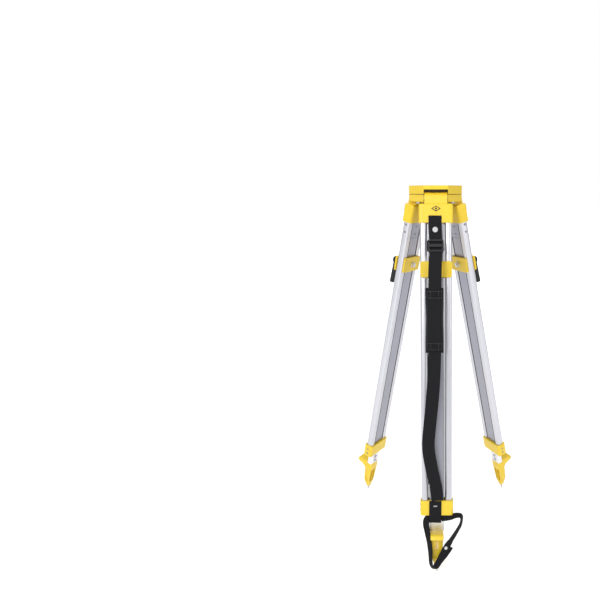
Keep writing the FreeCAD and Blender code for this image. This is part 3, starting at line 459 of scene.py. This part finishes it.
# %% Floor paper
def floor_paper():
    finish = Finish("floor_paper", Roughness=0.9, Emission_Strength=1.0)
    grain = finish.noise(finish.place(), 6, 2)
    reach = finish.length(finish.place())
    seen = finish.node("ShaderNodeLightPath", {}, {}, "Is Camera Ray")
    white = finish.mix((reach - 1.2) * 0.4, (0.46, 0.46, 0.46, 1), (1, 1, 1, 1))
    glow = finish.mix(seen, (0.36, 0.36, 0.37, 1), white)
    colour = finish.mix(grain, (0.84, 0.84, 0.84, 1), (0.87, 0.87, 0.87, 1))
    return finish.set(Base_Color=colour, Emission_Color=glow)


floor_mesh.materials.append(floor_paper())

# %% [markdown]
# ## Finishes on the measured parts
# Most of the measured parts already have their true shape.  Each gets its finish by name,
# in its own material slot, and its mesh stays as it is.

# %% Dress the measured parts
FINISHES = {
    "head_plate": HEAD_YELLOW, "hinge_frame": HEAD_YELLOW,
    "hinge_block": YELLOW, "lower_collar": YELLOW,
    "front_jaw": YELLOW, "back_jaw": YELLOW, "foot": YELLOW, "frame_screws": STEEL,
    "hinge_pins": STEEL, "swing_arm": STEEL, "arm_pivot": STEEL, "arm_slider": BRASS,
    "fastening_screw": STEEL, "hand_knob": PLASTIC, "plumb_hook": STEEL, "leg_rivets": STEEL,
    "clamp_bolt": STEEL, "lever_pin": STEEL, "cam_lever": PLASTIC, "foot_bolts": STEEL,
    "steel_point": POINT_STEEL, "strap_slider": PLASTIC, "strap_rivets": DULL_STEEL,
}
for node_name, node in nodes.items():
    stem, _, leg = node_name.rpartition("_")
    stem = stem if leg in LEGS else node_name
    finish = FINISHES.get(stem)
    if stem == "outer_tubes":
        finish = TUBES[leg]
    if stem in ("tongue_plate", "centre_bar"):
        finish = BARS[leg]
    if finish:
        node.data.materials.clear()
        node.data.materials.append(finish)
print(len(nodes), "measured parts")

# %% [markdown]
# ## From a bmesh to a piece
# Every new piece is shaped in a bmesh as if its leg hung straight down.  One helper carries
# it to its place, turns its faces outward, smooths all but its sharp edges and lets it ride.


# %% Piece helpers
def finished(bm, name, body, finish, place=Matrix(), flip=True):
    bmesh.ops.transform(bm, matrix=place, verts=bm.verts)
    if flip:
        bmesh.ops.recalc_face_normals(bm, faces=bm.faces)
    mesh = bpy.data.meshes.new(name)
    bm.to_mesh(mesh)
    bm.free()
    mesh.materials.append(finish)
    mesh.shade_smooth()
    mesh.set_sharp_from_angle(angle=math.radians(38))
    piece = bpy.data.objects.new(name, mesh)
    scene.collection.objects.link(piece)
    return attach(piece, body)


def block(bm, size, centre, bevel, turn=Matrix(), segments=2):
    """A box with bevelled edges."""
    matrix = Matrix.Translation(centre) @ turn @ Matrix.Diagonal((*size, 1))
    made = bmesh.ops.create_cube(bm, size=1, matrix=matrix)
    edges = list({edge for vert in made["verts"] for edge in vert.link_edges})
    bmesh.ops.bevel(bm, geom=edges, offset=bevel, segments=segments, profile=0.5,
                    affect="EDGES", material=-1)


def turned(bm, outline, place, steps=20):
    """An outline of (radius, height) pairs, spun round the z axis of its place."""
    spots = [bm.verts.new(place @ Vector((radius, 0, height))) for radius, height in outline]
    runs = [bm.edges.new(pair) for pair in zip(spots, spots[1:])]
    bmesh.ops.spin(bm, geom=spots + runs, cent=place.translation, axis=place.col[2].xyz,
                   angle=2 * math.pi, steps=steps, use_merge=True)
    bmesh.ops.remove_doubles(bm, verts=bm.verts, dist=1e-6)


def facing(spot, direction):
    """A place at the spot whose z axis points in the direction."""
    return Matrix.Translation(spot) @ Vector(direction).to_track_quat("Z", "Y").to_matrix().to_4x4()


# %% [markdown]
# ## The carrying strap's route
# The strap hangs from a riveted tab under the cap, runs through a three-bar slider, over a
# padded part and down in a slack curve to a second tab, which a flat clip holds below the
# collar.  The points lie close to the middle of the measured straps.  They control a NURBS
# spline, which is the strap's centre line, and its own points carry the mesh.

# %% Routes: across, outward and along the front leg
TOP_TAB = [(-0.0025, 0.0172, 0.049), (-0.0025, 0.0172, 0.072), (-0.0018, 0.0188, 0.092),
           (-0.001, 0.0224, 0.107), (-0.001, 0.0295, 0.126), (-0.001, 0.0355, 0.1405)]
UPPER = [(-0.001, 0.0385, 0.139), (-0.002, 0.048, 0.158), (-0.003, 0.0545, 0.179),
         (-0.004, 0.059, 0.207), (-0.0045, 0.0625, 0.2355), (-0.0046, 0.0636, 0.256),
         (-0.0048, 0.0638, 0.32), (-0.005, 0.0636, 0.386), (-0.005, 0.062, 0.399)]
LOWER = [(-0.005, 0.0595, 0.397), (-0.006, 0.0575, 0.442), (-0.009, 0.0555, 0.498),
         (-0.014, 0.052, 0.556), (-0.02, 0.048, 0.61), (-0.024, 0.0435, 0.66),
         (-0.017, 0.0385, 0.706), (-0.008, 0.032, 0.75), (0, 0.025, 0.788), (0.002, 0.0196, 0.818)]
END_TAB = [(-0.004, 0.0182, 0.82), (-0.0045, 0.0182, 0.858), (-0.005, 0.0196, 0.882)]
BINDING = [(-0.002, 0.0132, 0.872), (-0.017, 0.0136, 0.870), (-0.029, 0.016, 0.869),
           (-0.031, 0.02, 0.886), (-0.0265, 0.024, 0.906), (-0.0225, 0.027, 0.93),
           (-0.0185, 0.029, 0.96), (-0.0185, 0.031, 0.984), (-0.0165, 0.032, 1.004),
           (-0.0085, 0.0325, 1.009), (0.001, 0.032, 1.0), (0.0125, 0.031, 0.976),
           (0.0245, 0.0305, 0.951), (0.0395, 0.028, 0.929), (0.054, 0.026, 0.907),
           (0.0675, 0.024, 0.884), (0.0705, 0.02, 0.862), (0.056, 0.0175, 0.861),
           (0.036, 0.0145, 0.868), (0.012, 0.0132, 0.872)]
FRONT = PLACES["front"]


def smooth_line(route, smoothness=8):
    """Points along the NURBS spline whose control points are the route's."""
    curve = bpy.data.curves.new("route", "CURVE")
    curve.dimensions = "3D"
    curve.resolution_u = smoothness
    spline = curve.splines.new("NURBS")
    spline.points.add(len(route) - 1)
    for knot, (across, outward, along) in zip(spline.points, route):
        knot.co = (*(FRONT @ Vector((across, -outward, -along))), 1)
    spline.order_u = 3
    spline.use_endpoint_u = True
    holder = bpy.data.objects.new("route", curve)
    line = bpy.data.meshes.new_from_object(holder)
    path = [vert.co.copy() for vert in line.vertices]
    bpy.data.objects.remove(holder)
    return path


def measured(path):
    return sum((b - a).length for a, b in zip(path, path[1:]))


# %% A flat strap along a path
OUTWARD = FRONT.to_3x3() @ Vector((0, -1, 0))
DOWN_LEG = FRONT.to_3x3() @ Vector((0, 0, -1))
ACROSS = FRONT.to_3x3() @ Vector((1, 0, 0))


def eased(stops, share):
    """A value between (share, value) stops, easing from one to the next."""
    for (near, low), (far, high) in zip(stops, stops[1:]):
        if share <= far:
            t = (share - near) / (far - near)
            return low + (high - low) * t * t * (3 - 2 * t)
    return stops[-1][1]


def strap(name, path, width, thick, twist=((0, 0), (1, 0)), finish=None, columns=6, crown=0.0):
    """A grid whose rows lie across the path; twist turns the rows, in degrees."""
    bm = bmesh.new()
    bmesh.ops.create_grid(bm, x_segments=columns, y_segments=len(path) - 1, size=0.5)
    weave = bm.loops.layers.uv.new("weave")
    travelled = [0.0]
    for here, there in zip(path, path[1:]):
        travelled.append(travelled[-1] + (there - here).length)
    spans = {vert: (vert.co.x, round((vert.co.y + 0.5) * (len(path) - 1))) for vert in bm.verts}
    for face in bm.faces:
        for loop in face.loops:
            share, row = spans[loop.vert]
            loop[weave].uv = (share * width, travelled[row])
    for vert, (share, row) in spans.items():
        ahead = path[min(row + 1, len(path) - 1)] - path[max(row - 1, 0)]
        turn = Matrix.Rotation(math.radians(eased(twist, row / (len(path) - 1))), 3, ahead)
        side = turn @ OUTWARD.cross(ahead).normalized()
        face_way = ahead.cross(side).normalized()
        vert.co = path[row] + side * share * width + face_way * crown * (1 - 4 * share * share)
    piece = finished(bm, name, "outer_leg_front", finish or WEBBING)
    solid = piece.modifiers.new("thickness", "SOLIDIFY")
    solid.thickness, solid.offset = thick, 0
    edge = piece.modifiers.new("edge", "BEVEL")
    edge.width, edge.segments, edge.limit_method = thick * 0.3, 2, "ANGLE"
    return piece


# %% The straps
top_path, upper_path, lower_path = smooth_line(TOP_TAB), smooth_line(UPPER), smooth_line(LOWER)
end_path, binding_path = smooth_line(END_TAB), smooth_line(BINDING, 10)
WIDE, NARROW, DOUBLE = 0.034, 0.018, 0.0024
top_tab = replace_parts(strap("top_tab", top_path, WIDE, DOUBLE), "strap_top_tab")
upper_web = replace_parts(strap("upper_webbing", upper_path, WIDE, 0.0022), "carry_webbing_upper")
lower_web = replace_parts(strap("lower_webbing", lower_path, WIDE, 0.0022), "carry_webbing_lower")
end_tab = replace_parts(strap("end_tab", end_path, WIDE, DOUBLE), "strap_end_tab")
BINDING_TWIST = ((0, 0), (0.045, 10), (0.08, 45), (0.13, 15), (0.20, 26), (0.28, 44),
                 (0.36, 58), (0.42, 58), (0.46, 42), (0.51, 8), (0.60, 0), (0.655, 12),
                 (0.70, 38), (0.77, 48), (0.84, 66), (0.90, 70), (0.94, 62), (0.97, 25), (1, 0))
binding = strap("binding_strap_web", binding_path, NARROW, 0.0018, BINDING_TWIST)
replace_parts(binding, "binding_strap")
for label, path in (("upper", upper_path), ("lower", lower_path), ("binding", binding_path)):
    print(label, "strap", round(measured(path), 4), "m long")

# %% [markdown]
# ## The shoulder pad
# The pad is foam in woven cloth.  Its long edges are bound with tape and pull in slightly
# between the two cross bands that hold the webbing.  It starts as a box, is cut into a
# grid, and its points are moved: crowned in the middle, thin at the rim.


# %% Pad
PAD_TOP, PAD_LENGTH, PAD_WIDTH, PAD_THICK = 0.236, 0.167, 0.044, 0.0085
PAD_ACROSS, PAD_OUT, PAD_PINCH, PAD_RIM = -0.0048, 0.0577, 0.035, 0.0016
BANDS = (0.254, 0.386)


def pad_swell(x, z):
    """How full the foam is at a point: none at the rim, pinched under the cross bands."""
    rim = (1 - abs(2 * x / PAD_WIDTH) ** 4) * (1 - abs(2 * z / PAD_LENGTH) ** 14)
    middle = PAD_TOP + PAD_LENGTH / 2
    pinch = sum(math.exp(-((z + along - middle) / 0.011) ** 2) for along in BANDS)
    return max(rim, 0.0) ** 0.5 * (1 - 0.22 * min(pinch, 1))


def spanning(bm, axis, length):
    """The edges that reach further than the length along one axis."""
    ends = {edge: [vert.co[axis] for vert in edge.verts] for edge in bm.edges}
    return [edge for edge, (first, last) in ends.items() if abs(first - last) > length]


pad = bmesh.new()
bmesh.ops.create_cube(pad, size=1, matrix=Matrix.Diagonal((PAD_WIDTH, PAD_THICK, PAD_LENGTH, 1)))
long_edges = spanning(pad, 2, 0.1)
bmesh.ops.subdivide_edges(pad, edges=long_edges, cuts=59, use_grid_fill=True)
wide_edges = spanning(pad, 0, 0.03)
bmesh.ops.subdivide_edges(pad, edges=wide_edges, cuts=17, use_grid_fill=True)
for vert in pad.verts:
    x, z = vert.co.x, vert.co.z
    waist = 1 - PAD_PINCH * math.cos(2 * math.pi * z / PAD_LENGTH)
    half = PAD_RIM + (PAD_THICK / 2 - PAD_RIM) * pad_swell(x, z)
    vert.co.y = math.copysign(half, vert.co.y)
    vert.co.x = x * waist
pad_place = FRONT @ Matrix.Translation((PAD_ACROSS, -PAD_OUT, -PAD_TOP - PAD_LENGTH / 2))
pad_piece = finished(pad, "shoulder_pad_foam", "outer_leg_front", PAD_CLOTH, pad_place)
pad_piece.modifiers.new("round", "SUBSURF").levels = 1
pad_piece.modifiers["round"].render_levels = 1
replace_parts(pad_piece, "shoulder_pad")

# %% [markdown]
# ### Tape, bands and stitches on the pad
# Bound edges are a strip of tape folded over the rim, so each is a half-round strip along
# the side.  The cross bands are short webbing sewn flat, each with two rows of stitches
# across and four down.  A stitch is one bead of thread, a few faces, repeated along its row.


# %% Pad trimmings
trims = []
for side in (-1, 1):
    tape = bmesh.new()
    bmesh.ops.create_cone(tape, segments=12, radius1=0.0024, radius2=0.0024, depth=1,
                          cap_ends=True)
    everything = [*tape.verts, *tape.edges, *tape.faces]
    bmesh.ops.bisect_plane(tape, geom=everything, plane_co=(0, 0, 0), plane_no=(0, 0, 1))
    bmesh.ops.subdivide_edges(tape, edges=spanning(tape, 2, 0.1), cuts=30)
    for vert in tape.verts:
        z = vert.co.z * PAD_LENGTH
        waist = PAD_WIDTH / 2 * (1 - PAD_PINCH * math.cos(2 * math.pi * z / PAD_LENGTH))
        vert.co = (side * (waist - 0.0012) + vert.co.x, vert.co.y * 0.85, z)
    name = "pad_tape_left" if side < 0 else "pad_tape_right"
    trims.append(finished(tape, name, "outer_leg_front", TAPE, pad_place))
for number, along in enumerate(BANDS):
    band = bmesh.new()
    block(band, (PAD_WIDTH - 0.003, 0.0016, 0.021), (0, 0, 0), 0.0006)
    place = FRONT @ Matrix.Translation((PAD_ACROSS, -PAD_OUT - 0.0069, -along))
    name = "cross_band_%d" % (number + 1)
    trims.append(finished(band, name, "outer_leg_front", PAD_CLOTH, place))

thread = Finish("thread", Roughness=0.7)
twist = thread.part(thread.place(), "Z").wave(0.0006) * 0.5 + 0.5
THREAD = thread.set(Base_Color=thread.mix(twist, (0.045, 0.045, 0.05, 1), (0.15, 0.15, 0.16, 1)))


def stitch_row(bm, start, end, out, pitch=0.0034):
    """Beads of thread from start to end, both (across, along)."""
    run = Vector(end) - Vector(start)
    count = max(int(run.length / pitch), 1)
    for n in range(count):
        x, along = Vector(start) + run * ((n + 0.5) / count)
        turn = Matrix.Rotation(math.atan2(run.x, run.y), 4, "Y")
        spot = Matrix.Translation((x, -out, -along)) @ turn
        bead = spot @ Matrix.Diagonal((0.0005, 0.0004, 0.0012, 1))
        bmesh.ops.create_icosphere(bm, subdivisions=1, radius=1, matrix=bead)


sewn = bmesh.new()
ON_BAND, ON_PAD = PAD_OUT + 0.0078, PAD_OUT + 0.0040
for along in BANDS:
    for x in (-0.0185, 0.0185, -0.010, 0.010):
        column = PAD_ACROSS + x
        stitch_row(sewn, (column, along - 0.0085), (column, along + 0.0085), ON_BAND)
    for shift in (-0.0085, 0.0085):
        stitch_row(sewn, (-0.0233, along + shift), (0.0137, along + shift), ON_BAND)
for x in (-0.0188, 0.0188):
    column = PAD_ACROSS + x
    stitch_row(sewn, (column, PAD_TOP + 0.005), (column, PAD_TOP + PAD_LENGTH - 0.005), ON_PAD)
trims.append(finished(sewn, "pad_stitches", "outer_leg_front", THREAD, FRONT))

# %% [markdown]
# ## The binding strap's snap and end
# The strap that ties the folded legs has a loose squared end, which lies behind its right
# strand, and a press stud of polished steel.  The end is one more short strap; the stud is
# an outline spun round the direction that it faces.

# %% Loose end and press stud
FLAP = [(0.002, 0.0285, 0.997), (0.0165, 0.0285, 0.979), (0.028, 0.0282, 0.9625),
        (0.037, 0.028, 0.9478)]
flap = strap("binding_end", smooth_line(FLAP), NARROW, 0.0018, ((0, 4), (1, -6)))
stud = bmesh.new()
dome = [(0, 0.0022), (0.0016, 0.002), (0.0028, 0.0013), (0.0033, 0.0005), (0.0046, 0.0004),
        (0.005, 0), (0.005, -0.0008)]
turned(stud, dome, facing((0.0244, -0.0312, -0.951), (0.05, -1, 0)))
snap = finished(stud, "press_stud", "outer_leg_front", STEEL, FRONT)
binding_bits = [flap, snap]

# %% [markdown]
# ## Domed rivets and small screws
# Solid rivets hold the tubes to the cap.  Their heads are low domes, so each is a curved
# outline spun round its axis.  The collar's screws are flatter, with a cross made of two
# dark bars, painted shade for the cross recess in each head.

# %% Rivets on every leg
RIVET = [(0, 0.0016), (0.0012, 0.0015), (0.0023, 0.0011), (0.0031, 0.0005), (0.0033, 0),
         (0.0033, -0.0006)]
SCREW = [(0, 0.0008), (0.0018, 0.0008), (0.0026, 0.0006), (0.0031, 0.0002), (0.0031, -0.0006)]
TUBE_RIVETS, TONGUE_RIVETS, COLLAR_SCREWS = (0.073, 0.093), (0.079, 0.100), (0.836, 0.851)
TUBE_SIDE, TONGUE_BACK, COLLAR_SIDE = 0.0425, 0.0085, 0.046
for name in LEGS:
    heads = bmesh.new()
    for along in TUBE_RIVETS:
        for side in (-1, 1):
            turned(heads, RIVET, facing((side * TUBE_SIDE, 0, -along), (side, 0, 0)))
    for along in TONGUE_RIVETS:
        turned(heads, RIVET, facing((0, TONGUE_BACK, -along), (0, 1, 0)))
    for along in COLLAR_SCREWS:
        for side in (-1, 1):
            turned(heads, SCREW, facing((side * COLLAR_SIDE, 0, -along), (side, 0, 0)))
    riveted = finished(heads, "rivet_heads_" + name, "outer_leg_" + name, SHADED_RIVET_METAL, PLACES[name])
    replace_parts(riveted, "leg_rivets_" + name)
    # painted shade: two black bars stand for the shade in each screw's cross recess
    recess_shade = bmesh.new()
    for along in COLLAR_SCREWS:
        for side in (-1, 1):
            for tilt in (-0.785, 0.785):
                spot = (side * (COLLAR_SIDE + 0.0007), 0, -along)
                turn = Matrix.Rotation(tilt, 4, "X")
                block(recess_shade, (0.0004, 0.0032, 0.0007), spot, 0.0001, turn, 1)
    slot_shade = finished(recess_shade, "screw_slot_shade_" + name, "outer_leg_" + name, PLASTIC, PLACES[name])

# %% [markdown]
# ## Badge on the caps
# Each cap carries a small raised lozenge.  A plain dark frame and a dot fill it, and it
# stands for no maker.


# %% Badges
CAP_FACE, BADGE_ALONG = 0.0155, 0.031


def lozenge(bm, half_width, half_height, lift, rise):
    """A flat four-sided plate on the cap's face."""
    spot = Matrix.Translation((0, -CAP_FACE - lift, -BADGE_ALONG))
    upright = Matrix.Rotation(math.pi / 2, 4, "X")
    matrix = spot @ upright @ Matrix.Diagonal((half_width, half_height, 1, 1))
    bmesh.ops.create_cone(bm, segments=4, radius1=1, radius2=0.95, depth=rise, cap_ends=True,
                          matrix=matrix)


for name in LEGS:
    rim, face = bmesh.new(), bmesh.new()
    lozenge(rim, 0.0126, 0.0074, 0.0009, 0.0006)
    dot = facing((0, -CAP_FACE - 0.0016, -BADGE_ALONG), (0, -1, 0))
    turned(rim, [(0, 0.0004), (0.0022, 0.0003), (0.0026, 0)], dot)
    lozenge(face, 0.0092, 0.0048, 0.0012, 0.0008)
    body, place = "outer_leg_" + name, PLACES[name]
    finished(rim, "badge_frame_" + name, body, PLASTIC, place)
    finished(face, "badge_face_" + name, body, YELLOW, place)

# %% [markdown]
# ## Cast feet
# A foot is a thin-walled casting: a step for the boot that ends in a rounded spur, a front
# shell with a slot, two flanges and a rib that leave hollows on the inner side, and a nose
# that grips the steel point.  Each wall is an outline in the leg's side view, extruded
# across the leg and bevelled.  All of them then taper together towards the nose.

# %% Feet
STEP = [(-10, 911), (10, 911), (21, 909.5), (33, 907.5), (43, 907), (49, 909.5), (51, 914.5),
        (49, 920), (42, 923.5), (31, 927), (22, 932), (16.5, 940), (-10, 943)]
SHELL_TOP = [(9, 936), (16, 936), (15.6, 966), (9, 966)]
SHELL_LOW = [(9, 965), (15.6, 965), (14.6, 990), (10, 1006), (7, 1018), (1, 1018), (7, 994)]
FLANGE = [(-9.5, 941), (12, 941), (12, 990), (7, 1015), (-5, 1015), (-8, 994), (-8.5, 955)]
NOSE = [(-6.5, 998), (7, 998), (6, 1018), (-6, 1018)]
TAPER = ((0, 1), (0.943, 1), (0.990, 0.80), (1.018, 0.35), (1.1, 0.35))
FOOT_SIDE = 0.0175


def wall(bm, outline, left, right, bevel):
    """A side-view outline in millimetres, extruded across the leg from left to right."""
    spots = [bm.verts.new((left, -out / 1000, -along / 1000)) for out, along in outline]
    first = bm.faces.new(spots)
    made = bmesh.ops.extrude_face_region(bm, geom=[first], use_keep_orig=True)["geom"]
    moved = [item for item in made if isinstance(item, bmesh.types.BMVert)]
    bmesh.ops.translate(bm, verts=moved, vec=(right - left, 0, 0))
    rim = list({edge for vert in spots + moved for edge in vert.link_edges})
    bmesh.ops.bevel(bm, geom=rim, offset=bevel, segments=3, profile=0.5, affect="EDGES",
                    material=-1)


for name in LEGS:
    foot = bmesh.new()
    wall(foot, STEP, -0.018, 0.018, 0.0022)
    for side in (-1, 1):
        wall(foot, SHELL_TOP, *sorted((side * 0.0026, side * FOOT_SIDE)), 0.0008)
        wall(foot, FLANGE, *sorted((side * 0.0135, side * FOOT_SIDE)), 0.0009)
    wall(foot, SHELL_LOW, -FOOT_SIDE, FOOT_SIDE, 0.0016)
    wall(foot, FLANGE, -0.0019, 0.0019, 0.0007)
    wall(foot, NOSE, -0.017, 0.017, 0.0025)
    for vert in foot.verts:
        vert.co.x *= eased(TAPER, -vert.co.z)
    cast = finished(foot, "foot_casting_" + name, "inner_leg_" + name, YELLOW, PLACES[name])
    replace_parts(cast, "foot_" + name)

# %% [markdown]
# ## The fastening screw's thread
# A screw thread is one triangle carried round an axis while it climbs.  Spin does that with
# its step vector.  The standard 5/8 inch thread has eleven turns to the inch.

# %% Thread
PITCH, ROUND, TURNS = 0.0254 / 11, 32, 4.9
screw = bmesh.new()
STEM = [(0, -0.0002), (0.0062, -0.0002), (0.0068, -0.0008), (0.0068, -0.0128),
        (0.0075, -0.0132), (0.0075, -0.0217), (0.012, -0.0222), (0.012, -0.0260),
        (0.0075, -0.0264), (0.0075, -0.066), (0, -0.066)]
turned(screw, STEM, Matrix(), 40)
ridge = [screw.verts.new((radius, 0, -0.0130 + height)) for radius, height in
         ((0.0066, 0.0), (0.0078, 0.45 * PITCH), (0.0078, 0.55 * PITCH), (0.0066, PITCH))]
start = screw.faces.new(ridge)
bmesh.ops.spin(screw, geom=[start, *start.edges, *ridge], axis=(0, 0, 1), cent=(0, 0, 0),
               dvec=(0, 0, PITCH / ROUND), angle=2 * math.pi * TURNS, steps=int(ROUND * TURNS),
               use_merge=False)
threaded = finished(screw, "threaded_screw", "fastening_screw", STEEL)
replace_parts(threaded, "fastening_screw")

# %% [markdown]
# ## The straps' own meshes
# A strap has a real length.  The webbing beside the clamp lever and the slack below are soft.
# Here the straps, the pad and its trimmings each get a mesh of their own, and three spots
# beside and along the front leg are worked out.

# %% Own meshes for the straps
beside = FRONT @ Vector((0.048, -0.05, -0.3))
for piece in [upper_web, pad_piece, *trims]:
    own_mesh(piece)
outside = FRONT @ Vector((0, -0.0605, -0.6))
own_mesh(lower_web)
up_the_leg = FRONT @ Vector((0, -0.02, -0.866))
for piece in [binding, *binding_bits]:
    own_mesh(piece)

# %% Finish
bpy.context.view_layer.update()
